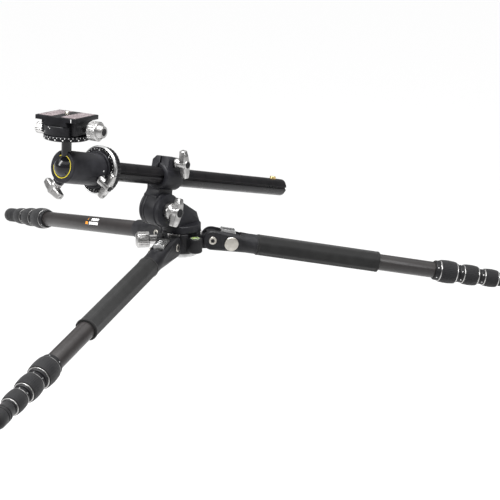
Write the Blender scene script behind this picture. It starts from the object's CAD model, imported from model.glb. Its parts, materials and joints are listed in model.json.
"""A low-spread camera tripod with a ball head: modelled pieces and finishes round the CAD frame."""
import json
import math

import bpy
from mathutils import Matrix, Vector

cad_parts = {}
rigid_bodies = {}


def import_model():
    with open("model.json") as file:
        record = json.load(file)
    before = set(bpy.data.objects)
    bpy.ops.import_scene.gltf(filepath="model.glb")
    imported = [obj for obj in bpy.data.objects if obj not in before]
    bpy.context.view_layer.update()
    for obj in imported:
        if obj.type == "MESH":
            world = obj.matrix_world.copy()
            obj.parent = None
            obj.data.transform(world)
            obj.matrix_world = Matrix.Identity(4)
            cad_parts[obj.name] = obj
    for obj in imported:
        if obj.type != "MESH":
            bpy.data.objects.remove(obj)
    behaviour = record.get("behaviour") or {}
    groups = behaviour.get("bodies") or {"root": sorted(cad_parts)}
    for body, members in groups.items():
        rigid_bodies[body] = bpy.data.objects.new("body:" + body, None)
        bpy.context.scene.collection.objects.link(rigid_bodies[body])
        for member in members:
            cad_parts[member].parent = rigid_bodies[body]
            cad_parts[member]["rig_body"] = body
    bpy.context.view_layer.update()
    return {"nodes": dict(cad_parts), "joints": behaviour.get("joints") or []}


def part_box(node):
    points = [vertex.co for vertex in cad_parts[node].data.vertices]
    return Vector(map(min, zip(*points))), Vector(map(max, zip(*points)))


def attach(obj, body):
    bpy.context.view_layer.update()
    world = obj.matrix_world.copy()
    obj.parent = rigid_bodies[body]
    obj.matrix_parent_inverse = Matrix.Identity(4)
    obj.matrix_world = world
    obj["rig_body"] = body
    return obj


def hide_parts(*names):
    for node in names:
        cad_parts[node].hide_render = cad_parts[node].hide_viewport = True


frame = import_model()
nodes = frame["nodes"]
joints = {j["name"]: j for j in frame["joints"]}
MM = 0.001
LEGS = ("a", "b", "c")
X_AXIS, Y_AXIS, Z_AXIS = (1, 0, 0), (0, 1, 0), (0, 0, 1)

# Degrees, and the distances under which two vertices are one, in a piece and in a CAD node.
SMOOTH_ANGLE = 35
COPLANAR_ANGLE = 0.6
MERGE_MM = 0.001
MERGE_M = 2e-6


# ---------- Places, read from the joints ----------

def basis(origin, x, y, z):
    """A frame with the given origin and unit axes, in metres."""
    turn = Matrix((x, y, z)).transposed().to_4x4()
    return Matrix.Translation(Vector(origin)) @ turn


def frame_along(joint, side=X_AXIS):
    """A hinge's own frame: +Z along its axis, +X as near to side as it can be."""
    z = Vector(joints[joint]["axis"]).normalized()
    y = z.cross(Vector(side)).normalized()
    return basis(joints[joint]["pos_m"], y.cross(z), y, z)


def leg_frame(letter):
    """+X out along the leg from its pivot, +Y along the pivot, +Z up."""
    x = Vector(joints[f"leg_{letter}_extend_2"]["axis"]).normalized()
    y = Vector(joints[f"leg_{letter}_fold"]["axis"]).normalized()
    return basis(joints[f"leg_{letter}_fold"]["pos_m"], x, y, x.cross(y))


HUB = Matrix.Translation(Vector(joints["canopy_turn"]["pos_m"]))
HEAD = frame_along("head_pan")
PLATFORM = frame_along("platform_pan")
CLAMP = frame_along("platform_pan", joints["clamp_knob_turn"]["axis"])
LEG = {letter: leg_frame(letter) for letter in LEGS}
LEG_OUT = Matrix.Rotation(math.radians(90), 4, "Y")


def in_frame(place, node):
    """A CAD node's lowest and highest corners in a place's own axes, in millimetres."""
    back = place.inverted()
    points = [back @ v.co for v in nodes[node].data.vertices]
    low = Vector([min(p[i] for p in points) for i in range(3)])
    high = Vector([max(p[i] for p in points) for i in range(3)])
    return low / MM, high / MM


# ---------- Modelling helpers ----------

def clear_selection():
    """Back to object mode with nothing selected."""
    if bpy.context.object and bpy.context.object.mode == "EDIT":
        bpy.ops.object.mode_set(mode="OBJECT")
    bpy.ops.object.select_all(action="DESELECT")


def choose(obj):
    """Selects one piece and makes it the active one."""
    clear_selection()
    obj.select_set(True)
    bpy.context.view_layer.objects.active = obj


def edit_all(obj):
    """Edit mode on one piece, with all of it selected."""
    choose(obj)
    bpy.ops.object.mode_set(mode="EDIT")
    bpy.ops.mesh.select_mode(type="VERT")
    bpy.ops.mesh.select_all(action="SELECT")


def leave_edit():
    bpy.ops.object.mode_set(mode="OBJECT")


def edit_end(obj, axis):
    """Edit mode on one piece, with only the faces selected that look along +X or +Z (axis 0 or 2)."""
    edit_all(obj)
    bpy.ops.mesh.select_mode(type="FACE")
    bpy.ops.mesh.select_all(action="DESELECT")
    leave_edit()
    for face in obj.data.polygons:
        face.select = face.normal[axis] > 0.9
    choose(obj)
    bpy.ops.object.mode_set(mode="EDIT")


def apply_modifier(obj, kind, **settings):
    choose(obj)
    modifier = obj.modifiers.new(kind.title(), kind)
    for key, value in settings.items():
        setattr(modifier, key, value)
    bpy.ops.object.modifier_apply(modifier=modifier.name)


def smooth_shade(obj, angle=SMOOTH_ANGLE):
    choose(obj)
    bpy.ops.object.shade_smooth_by_angle(angle=math.radians(angle))


def soften(obj, width, segments=2, angle=SMOOTH_ANGLE):
    """Rounds every edge sharper than angle, then smooths what is left."""
    apply_modifier(obj, "BEVEL", width=width * MM, segments=segments, limit_method="ANGLE",
                   angle_limit=math.radians(angle), use_clamp_overlap=True, harden_normals=False)
    smooth_shade(obj, angle)


def settle(obj, place):
    """Puts a piece made in millimetres round its own origin at its place, in its mesh."""
    obj.data.transform(obj.matrix_world)
    obj.matrix_world = Matrix.Identity(4)
    obj.data.transform(place @ Matrix.Scale(MM, 4))
    obj.data.update()
    return obj


def finish_piece(obj, place, name, body, material, replaces=()):
    """Settles a piece, names and paints it, and rides it on its body. A CAD skin has no place to go to."""
    if place is not None:
        settle(obj, place)
    obj.name = name
    obj.data.name = name
    obj.data.materials.clear()
    obj.data.materials.append(material)
    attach(obj, body)
    if replaces:
        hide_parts(*replaces)
    return obj


def wrap_map(obj):
    """A UV map that runs round the piece's Z axis and along it, both in millimetres."""
    mesh = obj.data
    layer = mesh.uv_layers.new(name="wrap")
    for face in mesh.polygons:
        middle = math.atan2(face.center.y, face.center.x)
        for loop in face.loop_indices:
            p = mesh.vertices[mesh.loops[loop].vertex_index].co
            radius = math.hypot(p.x, p.y)
            angle = math.atan2(p.y, p.x) if radius > 1e-6 else middle
            angle = middle + (angle - middle + math.pi) % math.tau - math.pi
            layer.data[loop].uv = (angle * radius, p.z + radius * 0.35)


def turned(outline, steps=72, angle=math.tau, bevel=0.3, smooth=SMOOTH_ANGLE):
    """A lathe piece in millimetres: outline is (radius, height) from the bottom of the axis to its top."""
    clear_selection()
    bpy.ops.mesh.primitive_plane_add(size=1)
    obj = bpy.context.object
    edit_all(obj)
    bpy.ops.mesh.merge(type="CENTER")
    first = outline[0]
    bpy.ops.transform.translate(value=(first[0], 0, first[1]))
    before = first
    for point in outline[1:] + [first]:
        step = (point[0] - before[0], 0, point[1] - before[1])
        bpy.ops.mesh.extrude_region_move(TRANSFORM_OT_translate={"value": step})
        before = point
    bpy.ops.mesh.select_all(action="SELECT")
    bpy.ops.mesh.spin(steps=steps, angle=angle, center=(0, 0, 0), axis=(0, 0, 1))
    bpy.ops.mesh.select_all(action="SELECT")
    bpy.ops.mesh.remove_doubles(threshold=MERGE_MM)
    bpy.ops.mesh.dissolve_degenerate(threshold=MERGE_MM)
    bpy.ops.mesh.select_all(action="SELECT")
    if angle < math.tau - 0.01:
        bpy.ops.mesh.select_all(action="DESELECT")
        bpy.ops.mesh.select_non_manifold()
        bpy.ops.mesh.edge_face_add()
        bpy.ops.mesh.select_all(action="SELECT")
    bpy.ops.mesh.normals_make_consistent(inside=False)
    leave_edit()
    if bevel:
        apply_modifier(obj, "BEVEL", width=bevel, segments=2, limit_method="ANGLE",
                       angle_limit=math.radians(smooth))
    smooth_shade(obj, smooth)
    wrap_map(obj)
    return obj


def ring(r_in, r_out, low, high, **options):
    """A turned piece with a plain rectangular section."""
    return turned([(r_in, low), (r_out, low), (r_out, high), (r_in, high)], **options)


def refined(node, width, segments=2, angle=SMOOTH_ANGLE):
    """A copy of a CAD node with its triangles merged into faces and its edges rounded."""
    source = nodes[node]
    obj = bpy.data.objects.new(node + "_skin", source.data.copy())
    bpy.context.scene.collection.objects.link(obj)
    edit_all(obj)
    bpy.ops.mesh.remove_doubles(threshold=MERGE_M)
    bpy.ops.mesh.select_all(action="SELECT")
    bpy.ops.mesh.dissolve_limited(angle_limit=math.radians(COPLANAR_ANGLE))
    leave_edit()
    soften(obj, width, segments, angle)
    return obj


def skin(node, width, material, name=None, segments=2, angle=SMOOTH_ANGLE):
    """A refined copy that stands for its CAD node."""
    body = nodes[node]["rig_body"]
    obj = refined(node, width, segments, angle)
    return finish_piece(obj, None, name or node + "_skin", body, material, (node,))


def block(size, place=Matrix.Identity(4), bevel=0.0):
    """A rounded block, sizes in millimetres, round its own origin."""
    clear_selection()
    bpy.ops.mesh.primitive_cube_add(size=1)
    obj = bpy.context.object
    edit_all(obj)
    bpy.ops.transform.resize(value=size)
    leave_edit()
    obj.data.transform(place)
    if bevel:
        apply_modifier(obj, "BEVEL", width=bevel, segments=2)
    smooth_shade(obj)
    return obj


def join(parts):
    """Joins pieces into the first of them."""
    clear_selection()
    for part in parts:
        part.select_set(True)
    bpy.context.view_layer.objects.active = parts[0]
    bpy.ops.object.join()
    return parts[0]


def arc(centre, radius, start, end, steps):
    """Points of an outline along an arc, angles in degrees from the radius direction."""
    angles = [math.radians(start + (end - start) * i / steps) for i in range(steps + 1)]
    return [(centre[0] + radius * math.cos(a), centre[1] + radius * math.sin(a)) for a in angles]


# ---------- Shader groups ----------

def new_group(name, inputs, outputs):
    """An empty shader group: inputs are name to default, outputs are name to socket type."""
    group = bpy.data.node_groups.new(name, "ShaderNodeTree")
    for key, default in inputs.items():
        kind = "NodeSocketVector" if key == "Vector" else "NodeSocketFloat"
        socket = group.interface.new_socket(name=key, in_out="INPUT", socket_type=kind)
        if key != "Vector":
            socket.default_value = default
    for key in outputs:
        group.interface.new_socket(name=key, in_out="OUTPUT", socket_type="NodeSocketFloat")
    start = group.nodes.new("NodeGroupInput")
    end = group.nodes.new("NodeGroupOutput")
    return group, start, end


def math_node(tree, operation, a, b=None, clamp=False):
    """A Math node fed by sockets or numbers, returning its output."""
    node = tree.nodes.new("ShaderNodeMath")
    node.operation = operation
    node.use_clamp = clamp
    for index, value in enumerate((a, b)):
        if value is None:
            continue
        if hasattr(value, "is_linked"):
            tree.links.new(value, node.inputs[index])
        else:
            node.inputs[index].default_value = value
    return node.outputs[0]


def noise(tree, vector, scale, detail=3.0, roughness=0.55):
    """A Noise Texture's factor, its scale a socket or a number."""
    node = tree.nodes.new("ShaderNodeTexNoise")
    node.inputs["Detail"].default_value = detail
    node.inputs["Roughness"].default_value = roughness
    tree.links.new(vector, node.inputs["Vector"])
    if hasattr(scale, "is_linked"):
        tree.links.new(scale, node.inputs["Scale"])
    else:
        node.inputs["Scale"].default_value = scale
    return node.outputs["Fac"]


def span(tree, value, low, high, to_low=0.0, to_high=1.0):
    """Stretches what lies between low and high to the other two values."""
    node = tree.nodes.new("ShaderNodeMapRange")
    node.inputs["From Min"].default_value = low
    node.inputs["From Max"].default_value = high
    node.inputs["To Min"].default_value = to_low
    node.inputs["To Max"].default_value = to_high
    tree.links.new(value, node.inputs["Value"])
    return node.outputs["Result"]


def cast_grain_group():
    """Powder-coat grain: fine bumps and a slow cloud of tone."""
    tree, start, end = new_group("Cast grain", {"Vector": None, "Scale": 900.0}, ("Height", "Tone"))
    vector = start.outputs["Vector"]
    fine = noise(tree, vector, start.outputs["Scale"], 2.0, 0.7)
    slow = noise(tree, vector, 60.0, 3.0)
    tree.links.new(fine, end.inputs["Height"])
    tree.links.new(slow, end.inputs["Tone"])
    return tree


def edge_wear_group():
    """Mask of rubbed edges, broken up by noise."""
    tree, start, end = new_group("Edge wear", {"Vector": None, "Amount": 0.5}, ("Mask",))
    sharp = tree.nodes.new("ShaderNodeNewGeometry").outputs["Pointiness"]
    edge = span(tree, sharp, 0.52, 0.62)
    patch = span(tree, noise(tree, start.outputs["Vector"], 180.0, 4.0, 0.65), 0.42, 0.7)
    mask = math_node(tree, "MULTIPLY", edge, patch, clamp=True)
    mask = math_node(tree, "MULTIPLY", mask, start.outputs["Amount"], clamp=True)
    tree.links.new(mask, end.inputs["Mask"])
    return tree


def brushed_group():
    """Fine lines that run round a turned or brushed face."""
    tree, start, end = new_group("Brushed lines", {"Vector": None, "Scale": 1.0}, ("Height", "Tone"))
    stretch = tree.nodes.new("ShaderNodeMapping")
    stretch.inputs["Scale"].default_value = (60.0, 2600.0, 2600.0)
    tree.links.new(start.outputs["Vector"], stretch.inputs["Vector"])
    lines = noise(tree, stretch.outputs["Vector"], start.outputs["Scale"], 3.0, 0.7)
    soft = noise(tree, start.outputs["Vector"], 90.0, 2.0)
    tree.links.new(lines, end.inputs["Height"])
    tree.links.new(soft, end.inputs["Tone"])
    return tree


def twill_group():
    """Two-by-two twill of a woven laminate on a wrap map in millimetres."""
    tree, start, end = new_group("Twill weave", {"Vector": None, "Pitch": 2.2}, ("Height", "Tone"))
    split = tree.nodes.new("ShaderNodeSeparateXYZ")
    tree.links.new(start.outputs["Vector"], split.inputs["Vector"])
    across = math_node(tree, "DIVIDE", split.outputs["X"], start.outputs["Pitch"])
    along = math_node(tree, "DIVIDE", split.outputs["Y"], start.outputs["Pitch"])
    lean = math_node(tree, "ADD", across, along)
    diagonal = math_node(tree, "FRACT", lean)
    ridge = math_node(tree, "PINGPONG", diagonal, 0.5)
    weft = math_node(tree, "PINGPONG", math_node(tree, "MULTIPLY", along, 2.0), 0.5)
    warp = math_node(tree, "PINGPONG", math_node(tree, "MULTIPLY", across, 2.0), 0.5)
    threads = math_node(tree, "MULTIPLY", math_node(tree, "ADD", weft, warp), 0.6)
    height = math_node(tree, "ADD", math_node(tree, "MULTIPLY", ridge, 1.2), threads)
    tree.links.new(height, end.inputs["Height"])
    tree.links.new(math_node(tree, "MULTIPLY", ridge, 2.0, clamp=True), end.inputs["Tone"])
    return tree


CAST_GRAIN = cast_grain_group()
EDGE_WEAR = edge_wear_group()
BRUSHED = brushed_group()
TWILL = twill_group()


# ---------- Materials ----------

class Finish:
    """A material under construction: a Principled shader, object coordinates and helpers to feed it."""

    def __init__(self, name, **fixed):
        self.material = bpy.data.materials.new(name)
        self.material.use_nodes = True
        self.tree = self.material.node_tree
        self.shader = self.tree.nodes["Principled BSDF"]
        self.shader.inputs["Specular IOR Level"].default_value = 0.2
        for key, value in fixed.items():
            self.shader.inputs[key.replace("_", " ")].default_value = value
        coordinates = self.tree.nodes.new("ShaderNodeTexCoord")
        self.place = coordinates.outputs["Object"]
        self.wrap = coordinates.outputs["UV"]

    def group(self, tree, vector, **values):
        node = self.tree.nodes.new("ShaderNodeGroup")
        node.node_tree = tree
        self.tree.links.new(vector, node.inputs["Vector"])
        for key, value in values.items():
            node.inputs[key].default_value = value
        return node.outputs

    def mix(self, factor, a, b):
        node = self.tree.nodes.new("ShaderNodeMix")
        node.data_type = "RGBA"
        self.tree.links.new(factor, node.inputs["Factor"])
        for socket, colour in ((node.inputs[6], a), (node.inputs[7], b)):
            if hasattr(colour, "is_linked"):
                self.tree.links.new(colour, socket)
            else:
                socket.default_value = (*colour, 1)
        return node.outputs[2]

    def colour(self, socket):
        self.tree.links.new(socket, self.shader.inputs["Base Color"])

    def roughness(self, value, low, high):
        self.tree.links.new(span(self.tree, value, 0.3, 0.7, low, high), self.shader.inputs["Roughness"])

    def bump(self, height, distance, strength=1.0):
        node = self.tree.nodes.new("ShaderNodeBump")
        node.inputs["Strength"].default_value = strength
        node.inputs["Distance"].default_value = distance * MM
        before = self.shader.inputs["Normal"]
        if before.is_linked:
            self.tree.links.new(before.links[0].from_socket, node.inputs["Normal"])
        self.tree.links.new(height, node.inputs["Height"])
        self.tree.links.new(node.outputs["Normal"], before)


RUBBED_EDGE = (0.05, 0.05, 0.053)


def coated(name, dark, light, low, high, grain=0.03, wear=0.2, scale=900.0, **fixed):
    """Powder-coated or anodised alloy: two close tones, fine grain and rubbed edges."""
    finish = Finish(name, **fixed)
    cloud = finish.group(CAST_GRAIN, finish.place, Scale=scale)
    rubbed = finish.group(EDGE_WEAR, finish.place, Amount=wear)["Mask"]
    tone = span(finish.tree, cloud["Tone"], 0.35, 0.65)
    finish.colour(finish.mix(rubbed, finish.mix(tone, dark, light), RUBBED_EDGE))
    finish.roughness(cloud["Tone"], low, high)
    finish.bump(cloud["Height"], grain)
    return finish.material


def bright(name, dark, light, low, high, lines=0.012, **fixed):
    """Bare or clear-anodised alloy with a fine brushed direction."""
    finish = Finish(name, Metallic=1.0, **fixed)
    brush = finish.group(BRUSHED, finish.place)
    tone = span(finish.tree, brush["Tone"], 0.35, 0.65)
    finish.colour(finish.mix(tone, dark, light))
    finish.roughness(brush["Height"], low, high)
    finish.bump(brush["Height"], lines)
    return finish.material


def woven(name):
    """Clear-coated carbon laminate in a fine twill."""
    finish = Finish(name, Coat_Weight=0.35, Coat_Roughness=0.28)
    weave = finish.group(TWILL, finish.wrap, Pitch=1.9)
    cloud = finish.group(CAST_GRAIN, finish.place, Scale=300.0)
    base = finish.mix(weave["Tone"], (0.016, 0.014, 0.014), (0.07, 0.062, 0.058))
    slow = span(finish.tree, cloud["Tone"], 0.3, 0.7, 0.0, 0.35)
    finish.colour(finish.mix(slow, base, (0.03, 0.027, 0.026)))
    finish.roughness(weave["Tone"], 0.42, 0.34)
    finish.bump(weave["Height"], 0.04, 0.5)
    return finish.material


def rubbery(name, dark, light, rough, pitch, depth):
    """Moulded rubber: pebble texture, slow tone change, faint sheen."""
    finish = Finish(name, Sheen_Weight=0.15, Sheen_Roughness=0.5)
    finish.shader.inputs["Specular IOR Level"].default_value = 0.14
    cells = finish.tree.nodes.new("ShaderNodeTexVoronoi")
    cells.inputs["Scale"].default_value = pitch
    finish.tree.links.new(finish.place, cells.inputs["Vector"])
    cloud = finish.group(CAST_GRAIN, finish.place, Scale=2600.0)
    tone = span(finish.tree, cloud["Tone"], 0.35, 0.65)
    finish.colour(finish.mix(tone, dark, light))
    finish.roughness(cloud["Tone"], rough - 0.06, rough + 0.06)
    finish.bump(cells.outputs["Distance"], depth)
    finish.bump(cloud["Height"], depth * 0.4)
    return finish.material


def painted(name, colour, rough=0.45):
    """Screen-printed or lacquered mark with a slightly uneven film."""
    finish = Finish(name)
    cloud = finish.group(CAST_GRAIN, finish.place, Scale=1500.0)
    shade = tuple(c * 0.82 for c in colour)
    finish.colour(finish.mix(span(finish.tree, cloud["Tone"], 0.3, 0.7), shade, colour))
    finish.roughness(cloud["Tone"], rough - 0.05, rough + 0.1)
    finish.bump(cloud["Height"], 0.01)
    return finish.material


def clear_window(name, tint):
    """Clear moulded window with a faint tint."""
    finish = Finish(name, Transmission_Weight=0.85, Roughness=0.05, IOR=1.47)
    cloud = finish.group(CAST_GRAIN, finish.place, Scale=600.0)
    shade = tuple(c * 0.9 for c in tint)
    finish.colour(finish.mix(span(finish.tree, cloud["Tone"], 0.3, 0.7), shade, tint))
    return finish.material


BLACK_CAST = coated("Black casting paint", (0.007, 0.007, 0.008), (0.012, 0.012, 0.014), 0.4, 0.5)
DARK_CAST = coated("Dark arm paint", (0.008, 0.008, 0.01), (0.014, 0.014, 0.017), 0.38, 0.48, grain=0.02)
GREY_ANODISED = coated("Grey anodised body", (0.018, 0.018, 0.021), (0.026, 0.026, 0.03), 0.36, 0.46,
                       grain=0.015, wear=0.25, scale=2200.0, Metallic=0.4)
BLACK_ANODISED = coated("Black anodised", (0.006, 0.006, 0.007), (0.01, 0.01, 0.012), 0.3, 0.4,
                        grain=0.008, wear=0.2, scale=2600.0, Metallic=0.35)
COLUMN_BLACK = coated("Column black", (0.006, 0.006, 0.007), (0.01, 0.009, 0.01), 0.26, 0.34,
                      grain=0.006, wear=0.15, scale=2600.0, Metallic=0.3)
BALL_BLACK = coated("Polished black ball", (0.005, 0.005, 0.006), (0.008, 0.008, 0.01), 0.16, 0.22,
                    grain=0.002, wear=0.0, Coat_Weight=0.5)
BLACK_PLASTIC = coated("Moulded black plastic", (0.006, 0.006, 0.007), (0.011, 0.011, 0.012), 0.4, 0.55,
                       grain=0.02, wear=0.1, scale=1800.0)
SILVER = bright("Satin silver", (0.34, 0.335, 0.33), (0.46, 0.455, 0.45), 0.24, 0.36)
BRIGHT_SILVER = bright("Bright silver", (0.42, 0.42, 0.42), (0.56, 0.56, 0.56), 0.2, 0.3)
BOLT_STEEL = bright("Bolt steel", (0.4, 0.38, 0.34), (0.52, 0.5, 0.46), 0.25, 0.38)
BRASS = bright("Brushed brass", (0.62, 0.44, 0.18), (0.74, 0.56, 0.26), 0.25, 0.38)
CARBON = woven("Woven carbon tube")
GRIP_RUBBER = rubbery("Grip rubber", (0.007, 0.007, 0.007), (0.012, 0.012, 0.012), 0.7, 1100.0, 0.06)
LOCK_RUBBER = rubbery("Lock rubber", (0.006, 0.006, 0.007), (0.01, 0.01, 0.011), 0.58, 1500.0, 0.03)
PAD_RUBBER = rubbery("Plate pad rubber", (0.13, 0.105, 0.11), (0.19, 0.16, 0.165), 0.6, 1300.0, 0.03)
WHITE_PRINT = painted("White print", (0.8, 0.8, 0.79))
YELLOW_PRINT = painted("Yellow lacquer", (0.75, 0.62, 0.05), 0.35)
ORANGE_PRINT = painted("Orange print", (0.75, 0.27, 0.03))
VIAL_FLUID = painted("Vial fluid", (0.62, 0.78, 0.04), 0.15)
VIAL_WINDOW = clear_window("Vial window", (0.9, 1.0, 0.75))


# ---------- Legs ----------

# Millimetres, and the printed bars' sweep in degrees.
BOLT_HEAD_R = 7
SOCKET_R = 3.1
TUBE_WALL = 1.4
LOCK_FIT = 0.08
STUDS = 6
FOOT_GROOVES = (13, 17.5)
MARK_SWEEP = 20


def dress_leg_castings(letter):
    """Refined castings and bolts, with a dark hexagon socket in each bolt head."""
    skin(f"leg_{letter}_casting", 1.1, BLACK_CAST, segments=3, angle=28)
    skin(f"leg_{letter}_pivot_bolt", 0.25, BOLT_STEEL)
    back = LEG[letter].inverted()
    bolt = [back @ v.co / MM for v in nodes[f"leg_{letter}_pivot_bolt"].data.vertices]
    heads = [p.y for p in bolt if math.hypot(p.x, p.z) < BOLT_HEAD_R]
    recesses = []
    for end in (min(heads), max(heads)):
        recess = turned([(0, -0.6), (SOCKET_R, -0.6), (SOCKET_R, 0.12), (0, 0.12)], steps=6, bevel=0)
        face = Matrix.Rotation(math.radians(-90 if end > 0 else 90), 4, "X")
        recess.data.transform(Matrix.Translation((0, end, 0)) @ face)
        recesses.append(recess)
    sockets = join(recesses)
    finish_piece(sockets, LEG[letter], f"leg_{letter}_bolt_sockets", f"leg_{letter}", BLACK_PLASTIC)


def angle_tab(letter):
    """Bright pull tab: a block with a scooped thumb rest, two raised bars and cut corners."""
    place = LEG[letter]
    node = f"leg_{letter}_angle_tab"
    low, high = in_frame(place, node)
    size, middle = high - low, (low + high) / 2
    body = block(size)
    edit_end(body, 2)
    bpy.ops.transform.resize(value=(0.78, 0.86, 1))
    bpy.ops.mesh.inset(thickness=1.6)
    bpy.ops.transform.translate(value=(0, 0, -0.9))
    leave_edit()
    apply_modifier(body, "BEVEL", width=0.7, segments=3)
    bars = []
    for shift in (-0.22, 0, 0.22):
        at = Matrix.Translation((shift * size.x * 0.8, 0, size.z / 2 - 0.7))
        bars.append(block((1.6, size.y * 0.6, 1.2), at, bevel=0.4))
    tab = join([body] + bars)
    smooth_shade(tab)
    finish_piece(tab, place @ Matrix.Translation(middle * MM), f"leg_{letter}_tab_block",
                 f"leg_{letter}_tab", BRIGHT_SILVER, (node,))


def grip(letter):
    skin(f"leg_{letter}_grip", 0.9, GRIP_RUBBER, f"leg_{letter}_grip_sleeve", 3, 12)


def leg_tubes(letter):
    """Woven tubes with a wrap map, open at both ends."""
    place = LEG[letter] @ LEG_OUT
    for number in (1, 2, 3, 4):
        node = f"leg_{letter}_tube_{number}"
        low, high = in_frame(place, node)
        outer = (high.x - low.x) / 2
        tube = ring(outer - TUBE_WALL, outer, low.z, high.z, bevel=0.2, steps=96)
        body = nodes[node]["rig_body"]
        finish_piece(tube, place, f"leg_{letter}_carbon_{number}", body, CARBON, (node,))


def rib_band(r_end, r_mid, low, high, ribs=40, depth=0.35):
    """A barrel of rubber with fine ribs along it, its ends plain."""
    length, rows, skirt = high - low, 10, 2.5
    outline = [(r_end - skirt, low)]
    for i in range(rows + 1):
        t = i / rows
        swell = math.sin(math.pi * min(1.0, 0.12 + 0.8 * t)) ** 0.6
        outline.append((r_end + (r_mid - r_end) * swell, low + length * t))
    outline.append((r_end - skirt, high))
    band = turned(outline, steps=ribs * 4, bevel=0, smooth=60)
    for vertex in band.data.vertices:
        radius = math.hypot(vertex.co.x, vertex.co.y)
        if radius < r_end - 1 or not low + 0.8 < vertex.co.z < high - 0.8:
            continue
        turn = math.atan2(vertex.co.y, vertex.co.x) / math.tau * ribs
        cut = max(0.0, math.cos(math.tau * turn)) ** 2 * depth
        vertex.co.x *= 1 - cut / radius
        vertex.co.y *= 1 - cut / radius
    return band


def twist_lock(letter, number):
    """Black nut neck with bright studs, a ribbed rubber barrel and a bright ring at each end."""
    place = LEG[letter] @ LEG_OUT
    name = f"leg_{letter}_lock_{number}"
    body = nodes[name]["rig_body"]
    low, high = in_frame(place, name)
    length, widest = high.z - low.z, (high.x - low.x) / 2
    bore = in_frame(place, f"leg_{letter}_tube_{number}")[1].x + LOCK_FIT
    next_bore = in_frame(place, f"leg_{letter}_tube_{number + 1}")[1].x + LOCK_FIT
    neck_end, barrel_end = low.z + length * 0.2, high.z - length * 0.14
    neck = turned([(bore, low.z), (bore + 1.9, low.z), (bore + 2.7, low.z + 1.6),
                   (bore + 3.1, neck_end + 2), (bore, neck_end + 2)], bevel=0.25)
    finish_piece(neck, place, f"{name}_neck", body, BLACK_PLASTIC)
    studs = []
    for i in range(STUDS):
        spin = Matrix.Rotation(math.tau * i / STUDS, 4, "Z")
        spot = spin @ Matrix.Translation((bore + 2.3, 0, low.z + 3.4))
        studs.append(block((1.3, 1.8, 2.4), spot, bevel=0.45))
    stud_ring = join(studs)
    finish_piece(stud_ring, place, f"{name}_studs", body, BRIGHT_SILVER)
    barrel = rib_band(bore + 3.4, widest, neck_end + 1.4, barrel_end)
    finish_piece(barrel, place, f"{name}_barrel", body, LOCK_RUBBER, (name,))
    first = ring(bore + 0.6, bore + 3.9, neck_end - 0.4, neck_end + 1.7, bevel=0.3)
    finish_piece(first, place, f"{name}_ring_in", body, SILVER)
    second = ring(next_bore + 1.0, bore + 3.2, barrel_end - 0.1, barrel_end + 2.0, bevel=0.3)
    finish_piece(second, place, f"{name}_ring_out", body, SILVER)
    tail = turned([(next_bore, barrel_end + 1), (bore + 2.2, barrel_end + 1), (bore + 1.8, high.z - 1.5),
                   (bore + 0.8, high.z), (next_bore, high.z)], bevel=0.25)
    finish_piece(tail, place, f"{name}_tail", body, BLACK_PLASTIC)


def foot(letter):
    """Rubber foot: a collar, two grooves and a round end."""
    place = LEG[letter] @ LEG_OUT
    node = f"leg_{letter}_foot"
    low, high = in_frame(place, node)
    r = (high.x - low.x) / 2
    start = low.z
    outline = [(0, start), (r - 2.1, start), (r - 1.5, start + 0.8), (r - 1.5, start + 7),
               (r - 0.2, start + 9.5)]
    for groove in FOOT_GROOVES:
        outline += [(r, start + groove - 1), (r - 0.7, start + groove - 0.5),
                    (r - 0.7, start + groove + 0.5), (r, start + groove + 1)]
    outline += arc((0, high.z - r), r, 0, 90, 12)[:-1] + [(0, high.z)]
    rubber = turned(outline, bevel=0.15)
    finish_piece(rubber, place, f"leg_{letter}_rubber_foot", f"leg_{letter}_section_4",
                 LOCK_RUBBER, (node,))


def leg_marks():
    """Plain printed bars on the leg that has no grip."""
    place = LEG["c"] @ LEG_OUT
    low, high = in_frame(place, "leg_c_tube_1")
    outer = (high.x - low.x) / 2
    marks = (("white", WHITE_PRINT, 178, 206), ("orange", ORANGE_PRINT, 210, 217))
    for name, material, start, end in marks:
        bars = []
        for lift in (0, 1):
            bar = ring(outer - 0.1, outer + 0.06, start + lift * 2, end - lift * 4,
                       angle=math.radians(MARK_SWEEP), steps=10, bevel=0)
            bar.data.transform(Matrix.Rotation(math.radians(118 + lift * 32), 4, "Z"))
            bars.append(bar)
        mark = join(bars)
        finish_piece(mark, place, f"leg_c_mark_{name}", "leg_c", material)


def legs():
    """All pieces of the three legs. The third one has printed bars where the others have a grip."""
    for letter in LEGS:
        dress_leg_castings(letter)
        angle_tab(letter)
        if letter != "c":
            grip(letter)
        leg_tubes(letter)
        for number in (1, 2, 3):
            twist_lock(letter, number)
        foot(letter)
    leg_marks()


# ---------- Hub, canopy and arm ----------

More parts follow.
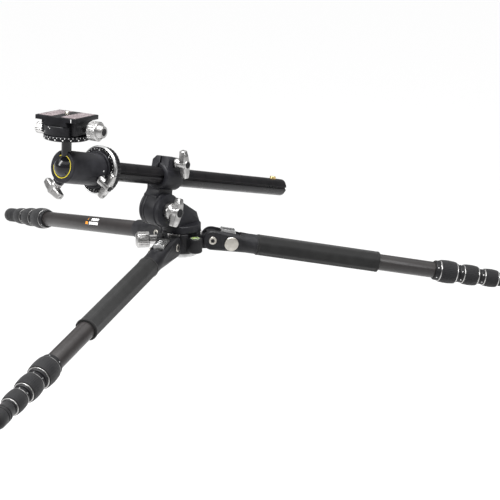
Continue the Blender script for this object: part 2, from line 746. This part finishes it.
def level():
    """Bubble level: turned housing, bright bezel, fluid with its bubble, and a clear window."""
    low, high = in_frame(HUB, "bubble_level")
    middle = (low + high) / 2
    place = HUB @ Matrix.Translation(Vector((middle.x, middle.y, 0)) * MM)
    r, top = (high.x - low.x) / 2, high.z
    well = r - 3.5
    cup = turned([(0, low.z), (r - 1.5, low.z), (r, low.z + 1.5), (r, top - 2), (r - 1.2, top - 0.6),
                  (well + 0.4, top), (well, top - 0.4), (well, top - 6.6), (0, top - 6.6)], bevel=0.25)
    finish_piece(cup, place, "level_cup", "hub", BLACK_PLASTIC, ("bubble_level",))
    fluid = turned([(0, top - 6.4), (well - 0.2, top - 6.4), (well - 0.2, top - 1.2), (2.6, top - 1.2),
                    (2.2, top - 1.9), (0, top - 2.2)], bevel=0.1)
    finish_piece(fluid, place, "level_fluid", "hub", VIAL_FLUID, ("level_vial",))
    window = turned([(0, top - 1.1), (well - 0.1, top - 1.1), (well - 0.1, top - 0.5), (0, top - 0.1)],
                    bevel=0.1)
    finish_piece(window, place, "level_window", "hub", VIAL_WINDOW)
    for index, radius in enumerate((3.0, 4.2)):
        target = ring(radius, radius + 0.3, top - 1.18, top - 1.02, bevel=0)
        finish_piece(target, place, f"level_target_{index + 1}", "hub", BLACK_PLASTIC)


def hub_and_arm():
    """Refined castings of the hub, the turning ring and the swing arm, with their bright parts."""
    skin("hub", 0.8, BLACK_CAST, segments=3, angle=30)
    skin("angle_stops", 0.4, SILVER)
    skin("hub_base_ring", 0.6, BRIGHT_SILVER, segments=3)
    skin("canopy", 1.2, DARK_CAST, segments=3, angle=30)
    skin("column_arm", 1.0, DARK_CAST, segments=3, angle=30)
    skin("canopy_knob", 0.4, SILVER)
    level()


def socket_plug(name, place, height, body, r=4.2):
    """Dark cap with a dished middle on a knob's end."""
    plug = turned([(0, height - 2), (r, height - 2), (r, height + 0.3), (r - 0.5, height + 0.6),
                   (2.6, height + 0.6), (2.2, height + 0.12), (0, height + 0.12)], steps=48, bevel=0.1)
    finish_piece(plug, place, name, body, BLACK_PLASTIC)


def wing_angle(place, node):
    """The direction a knob's wings point round its own axis, in radians."""
    back = place.inverted()
    points = [back @ v.co for v in nodes[node].data.vertices]
    farthest = max(math.hypot(p.x, p.y) for p in points)
    tips = [math.atan2(p.y, p.x) for p in points if math.hypot(p.x, p.y) > 0.94 * farthest]
    doubled_x = sum(math.cos(2 * a) for a in tips)
    doubled_y = sum(math.sin(2 * a) for a in tips)
    return math.atan2(doubled_y, doubled_x) / 2


def wing(hub, reach, height):
    """One wing out along +X: broad at the hub, drawn in and rounded at the tip, dished on top."""
    root = hub * 0.3
    length = reach - root
    outer_part = length * 0.45
    obj = block((length, hub * 1.9, height))
    edit_end(obj, 0)
    bpy.ops.transform.translate(value=(-outer_part, 0, 0))
    bpy.ops.transform.resize(value=(1, 0.78, 0.96))
    bpy.ops.mesh.extrude_region_move(TRANSFORM_OT_translate={"value": (outer_part, 0, -height * 0.06)})
    bpy.ops.transform.resize(value=(1, 0.86, 0.78))
    leave_edit()
    apply_modifier(obj, "BEVEL", width=2.2, segments=4)
    obj.data.transform(Matrix.Translation((root + length / 2, 0, -height / 2)))
    return obj


def wing_knob(node, skirt, hub, total, reach, height):
    """Two-winged knob: turned hub with a skirt (radius, height), two raked wings and a dark socket cap."""
    joint, body = f"{node}_turn", node
    side = Y_AXIS if abs(joints[joint]["axis"][0]) > 0.9 else X_AXIS
    axis = frame_along(joint, side)
    place = axis @ Matrix.Translation((0, 0, in_frame(axis, node)[1].z * MM - total * MM))
    core = turned([(0, 0), (skirt[0] - 0.8, 0), (skirt[0], 0.8), (skirt[0], skirt[1] - 1.2),
                   (skirt[0] - 1, skirt[1]), (hub + 0.6, skirt[1] + 0.8), (hub, skirt[1] + 2.2),
                   (hub - 0.2, total - 1.4), (hub - 1.2, total), (0, total)], bevel=0.2)
    parts = [core]
    lift = Matrix.Translation((0, 0, total - 0.8))
    for half in (0, math.pi):
        blade = wing(hub, reach, height)
        blade.data.transform(Matrix.Rotation(wing_angle(axis, node) + half, 4, "Z") @ lift)
        parts.append(blade)
    knob = join(parts)
    smooth_shade(knob, 40)
    finish_piece(knob, place, f"{node}_wings", body, SILVER, (node,))
    socket_plug(f"{node}_cap", place, total, body, hub - 2)


def knobs():
    """Locking knobs, sizes in millimetres."""
    wing_knob("pivot_knob", skirt=(13, 9), hub=8.5, total=23, reach=22, height=12)
    wing_knob("collar_knob", skirt=(7.5, 5), hub=7, total=23, reach=22, height=12)
    wing_knob("head_pan_knob", skirt=(6.5, 3), hub=6, total=23, reach=20, height=11)
    wing_knob("head_ball_knob", skirt=(7.5, 4), hub=7, total=20, reach=19, height=12)


# ---------- Column and ball head ----------

def column_pieces():
    """Refined column, its end cap and its spring button."""
    skin("column", 0.35, COLUMN_BLACK, segments=2, angle=20)
    skin("column_end_cap", 0.4, BLACK_PLASTIC)
    skin("stop_button", 0.5, BRASS, segments=3)


# Millimetres. A mark stands half its depth proud of what it is printed on.
PRINT_DEPTH = 0.24
PRINT_BEVEL = 0.08


def dots(name, body, place, radius, height, turns, size, face="side"):
    """Small white marks round a turned piece, size (across, along), on its side or on its flat face."""
    across, along = size
    shape = (PRINT_DEPTH, across, along) if face == "side" else (along, across, PRINT_DEPTH)
    marks = []
    for turn in turns:
        spot = Matrix.Rotation(math.radians(turn), 4, "Z") @ Matrix.Translation((radius, 0, height))
        marks.append(block(shape, spot, bevel=PRINT_BEVEL))
    finish_piece(join(marks), place, name, body, WHITE_PRINT)


# Millimetres. The mouth is MOUTH_GAP smaller in radius than the ball behind it.
STEM_R = 7
SLOT_R = 7.8
MOUTH_GAP = 2
HEAD_MARK_R = 23.0


def ball_head():
    """Base with a bright rim and dial, body with a yellow ring round its mouth, ball with its stem."""
    low, high = in_frame(HEAD, "head_base")
    rim = (high.x - low.x) / 2
    skin("head_base", 0.4, BLACK_ANODISED)
    bright_rim = turned([(rim - 2.6, 9.3), (rim + 0.05, 9.3), (rim + 0.05, 12), (rim - 1.9, 14.15),
                         (rim - 2.6, 14.15)], bevel=0.25, steps=120)
    finish_piece(bright_rim, HEAD, "head_rim", "column", BRIGHT_SILVER)
    dots("head_dial_marks", "column", HEAD, rim - 4.6, 14.03, range(0, 360, 10), (0.45, 1.3), "face")
    dots("head_dial_dots", "column", HEAD, rim - 6.8, 14.05, range(2, 362, 45), (1.5, 1.5), "face")
    skin("head_body", 0.7, GREY_ANODISED, segments=3, angle=30)
    front = in_frame(HEAD, "head_body")[1].z
    ball_low, ball_high = in_frame(PLATFORM, "head_ball")
    ball_r = (ball_high.x - ball_low.x) / 2
    mouth = ball_r - MOUTH_GAP + 0.3
    notch = math.degrees(math.asin(SLOT_R / (mouth + 0.8))) + 1
    lacquer = ring(mouth + 0.05, mouth + 1.15, front - 0.5, front + 0.12, bevel=0.1, steps=96,
                   angle=math.radians(360 - 2 * notch))
    lacquer.data.transform(Matrix.Rotation(math.radians(90 + notch), 4, "Z"))
    finish_piece(lacquer, HEAD, "head_mouth_ring", "head", YELLOW_PRINT)
    top = ball_high.z
    meeting = math.degrees(math.acos(STEM_R / ball_r))
    rise = ball_r * math.sin(math.radians(meeting))
    outline = [(0, -ball_r)] + arc((0, 0), ball_r, -90, meeting, 40)[1:]
    outline += [(STEM_R, rise + 1), (STEM_R, top - 2.2), (STEM_R + 2, top), (0, top)]
    ball = turned(outline, steps=96, bevel=0.12)
    finish_piece(ball, PLATFORM, "ball_and_stem", "ball", BALL_BLACK, ("head_ball",))
    for turn, height, name in ((2, 24, "upper"), (-16, 21, "lower")):
        dots(f"head_body_mark_{name}", "head", HEAD, HEAD_MARK_R, height, (turn,), (1.8, 1.8))


# ---------- Platform ----------

# Millimetres, except the counts of ribs and thread turns.
PAD_RIBS = 9
SCREW_HEAD_R = 8.2
SCREW_HEAD_H = 3.2
SCREW_NECK_R = 2.7
SCREW_TURNS = 6


def platform():
    """Panning disc with its dial, refined clamp with its knobs and dots, and the plate on it."""
    low, high = in_frame(PLATFORM, "pan_base")
    r = (high.x - low.x) / 2
    start = in_frame(PLATFORM, "head_ball")[1].z
    disc = turned([(0, start), (r - 2.2, start), (r - 0.8, start + 0.6), (r, start + 1.6), (r, start + 6.2),
                   (r - 0.8, start + 7), (0, start + 7)], steps=120, bevel=0.25)
    finish_piece(disc, PLATFORM, "pan_disc", "ball", BLACK_ANODISED, ("pan_base",))
    dots("pan_disc_marks", "ball", PLATFORM, r, start + 5.2, range(0, 360, 10), (0.6, 1.8))
    dots("pan_disc_tens", "ball", PLATFORM, r, start + 2.6, range(5, 365, 20), (1.7, 1.5))
    skin("clamp_body", 0.6, BLACK_CAST, segments=3)
    skin("clamp_jaw", 0.6, BLACK_CAST, segments=3)
    skin("clamp_knob", 0.35, SILVER)
    skin("pan_lock_knob", 0.3, SILVER)
    knob_axis = frame_along("clamp_knob_turn", Z_AXIS)
    socket_plug("clamp_knob_cap", knob_axis, in_frame(knob_axis, "clamp_knob")[1].z, "clamp_knob", 5.2)
    drum_start = in_frame(CLAMP, "clamp_body")[0].z
    for turn, height in ((-128, 4), (-108, 11.5), (-103, 10)):
        dots(f"clamp_dot_{-turn}", "clamp", CLAMP, r - 0.8, drum_start + height, (turn,), (1.2, 1.2))
    quick_plate()


def quick_plate():
    """Dovetail plate with a rubber pad in two fields, fine ribs and the camera screw between them."""
    skin("quick_plate", 0.6, BLACK_ANODISED, "plate_body", 3)
    low, high = in_frame(CLAMP, "quick_plate")
    size = high - low
    for side, name in ((-1, "left"), (1, "right")):
        middle = side * size.x * 0.285
        at = Matrix.Translation((middle, 0, high.z + 0.15))
        parts = [block((size.x * 0.34, size.y * 0.86, 0.9), at, bevel=0.35)]
        for i in range(PAD_RIBS):
            shift = middle + (i - PAD_RIBS // 2) * size.x * 0.034
            at = Matrix.Translation((shift, 0, high.z + 0.6))
            parts.append(block((1.0, size.y * 0.8, 0.5), at, bevel=0.2))
        finish_piece(join(parts), CLAMP, f"plate_pad_{name}", "plate", PAD_RUBBER)
    edge = Matrix.Translation((size.x * 0.4, low.y, high.z - 3))
    index_mark = block((1.1, PRINT_DEPTH, 4.6), edge, bevel=PRINT_BEVEL)
    finish_piece(index_mark, CLAMP, "plate_index", "plate", WHITE_PRINT)
    screw_low, screw_high = in_frame(PLATFORM, "camera_screw")
    start, top = screw_low.z, screw_high.z
    outline = [(0, start), (SCREW_HEAD_R, start), (SCREW_HEAD_R, start + SCREW_HEAD_H),
               (SCREW_NECK_R, start + SCREW_HEAD_H), (SCREW_NECK_R, high.z - 1.5)]
    pitch = (top - 0.8 - high.z) / SCREW_TURNS
    for i in range(SCREW_TURNS):
        outline += [(2.75, high.z + i * pitch), (3.15, high.z + (i + 0.5) * pitch)]
    outline += [(2.75, top - 0.8), (2.2, top), (0, top)]
    screw = turned(outline, steps=48, bevel=0)
    finish_piece(screw, PLATFORM, "camera_screw_thread", "camera_screw", BOLT_STEEL,
                 ("camera_screw",))


# ---------- Room, light and camera ----------

# Metres, watts and degrees. A softbox is name, distance, azimuth, elevation, size and power.
FLOOR_SIZE = 200
FLOOR_DARK, FLOOR_LIGHT = (0.93, 0.93, 0.93), (0.96, 0.96, 0.96)
ROOM_GLOW = 0.26
SKY_POWER, SKY_SPREAD = 2.5, 110
SOFTBOXES = (
    ("overhead", 1.7, -60, 75, (1.5, 0.5), 42),
    ("left_key", 2.0, -115, 38, (0.5, 1.4), 34),
    ("right_fill", 2.2, 5, 30, (0.4, 1.2), 15),
)
LENS_MM, SENSOR_MM, VIEW_LIMIT = 98.8, 36, 200
CAMERA_FROM_HUB = (1.3254, -1.5602, 0.6031)
HEADING, LOOKING_DOWN, ROLL = 37.36, 16.85, 1.17


def standing_height():
    """How far the feet reach below the hub with the legs pulled out and folded straight down."""
    laid = max((Vector(corner) - HUB.translation).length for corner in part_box("leg_a_foot"))
    pulled = sum(joints[f"leg_a_extend_{section}"]["range_m"][1] for section in (2, 3, 4))
    return laid + pulled


def room():
    """A white floor under the standing height, so that folded legs never pass through it."""
    clear_selection()
    floor_level = HUB.translation.z - standing_height()
    bpy.ops.mesh.primitive_plane_add(size=FLOOR_SIZE, location=(0, 0, floor_level))
    floor = bpy.context.object
    floor.name = "floor"
    paper = Finish("Pale floor paper", Roughness=0.9)
    cloud = paper.group(CAST_GRAIN, paper.place, Scale=40.0)
    paper.colour(paper.mix(cloud["Tone"], FLOOR_DARK, FLOOR_LIGHT))
    floor.data.materials.append(paper.material)
    world = bpy.data.worlds.new("Soft room")
    world.use_nodes = True
    world.node_tree.nodes["Background"].inputs["Color"].default_value = (1, 1, 1, 1)
    nodes, links = world.node_tree.nodes, world.node_tree.links
    brightness = nodes.new("ShaderNodeMapRange")
    brightness.inputs["To Min"].default_value = ROOM_GLOW
    brightness.inputs["To Max"].default_value = 1.0
    links.new(nodes.new("ShaderNodeLightPath").outputs["Is Camera Ray"], brightness.inputs["Value"])
    links.new(brightness.outputs["Result"], nodes["Background"].inputs["Strength"])
    bpy.context.scene.world = world
    bpy.context.scene.view_settings.view_transform = "Standard"


def softbox(name, aim, away, azimuth, elevation, size, power):
    """An area light at a distance from a point that it faces, azimuth from +X."""
    a, e = math.radians(azimuth), math.radians(elevation)
    direction = Vector((math.cos(a) * math.cos(e), math.sin(a) * math.cos(e), math.sin(e)))
    data = bpy.data.lights.new(name, "AREA")
    data.shape = "RECTANGLE"
    data.size, data.size_y = size
    data.energy = power
    lamp = bpy.data.objects.new(name, data)
    bpy.context.scene.collection.objects.link(lamp)
    lamp.location = aim + direction * away
    lamp.rotation_euler = direction.to_track_quat("Z", "Y").to_euler()


def lights():
    """Three softboxes and a wide, even sky."""
    aim = HUB.translation.copy()
    for name, away, azimuth, elevation, size, power in SOFTBOXES:
        softbox(name, aim, away, azimuth, elevation, size, power)
    sun = bpy.data.lights.new("sky", "SUN")
    sun.energy = SKY_POWER
    sun.angle = math.radians(SKY_SPREAD)
    lamp = bpy.data.objects.new("sky", sun)
    bpy.context.scene.collection.objects.link(lamp)
    lamp.location = (0, 0, 3)


def camera():
    """Long lens, a little above the object, from the knob side."""
    data = bpy.data.cameras.new("camera")
    data.sensor_width = SENSOR_MM
    data.lens = LENS_MM
    data.clip_end = VIEW_LIMIT
    cam = bpy.data.objects.new("camera", data)
    bpy.context.scene.collection.objects.link(cam)
    turn = Matrix.Rotation(math.radians(HEADING), 4, "Z")
    pitch = Matrix.Rotation(math.radians(90 - LOOKING_DOWN), 4, "X")
    roll = Matrix.Rotation(math.radians(ROLL), 4, "Z")
    spot = HUB.translation + Vector(CAMERA_FROM_HUB)
    cam.matrix_world = Matrix.Translation(spot) @ turn @ pitch @ roll
    bpy.context.scene.camera = cam


camera()
legs()
hub_and_arm()
knobs()
column_pieces()
ball_head()
platform()
room()
lights()
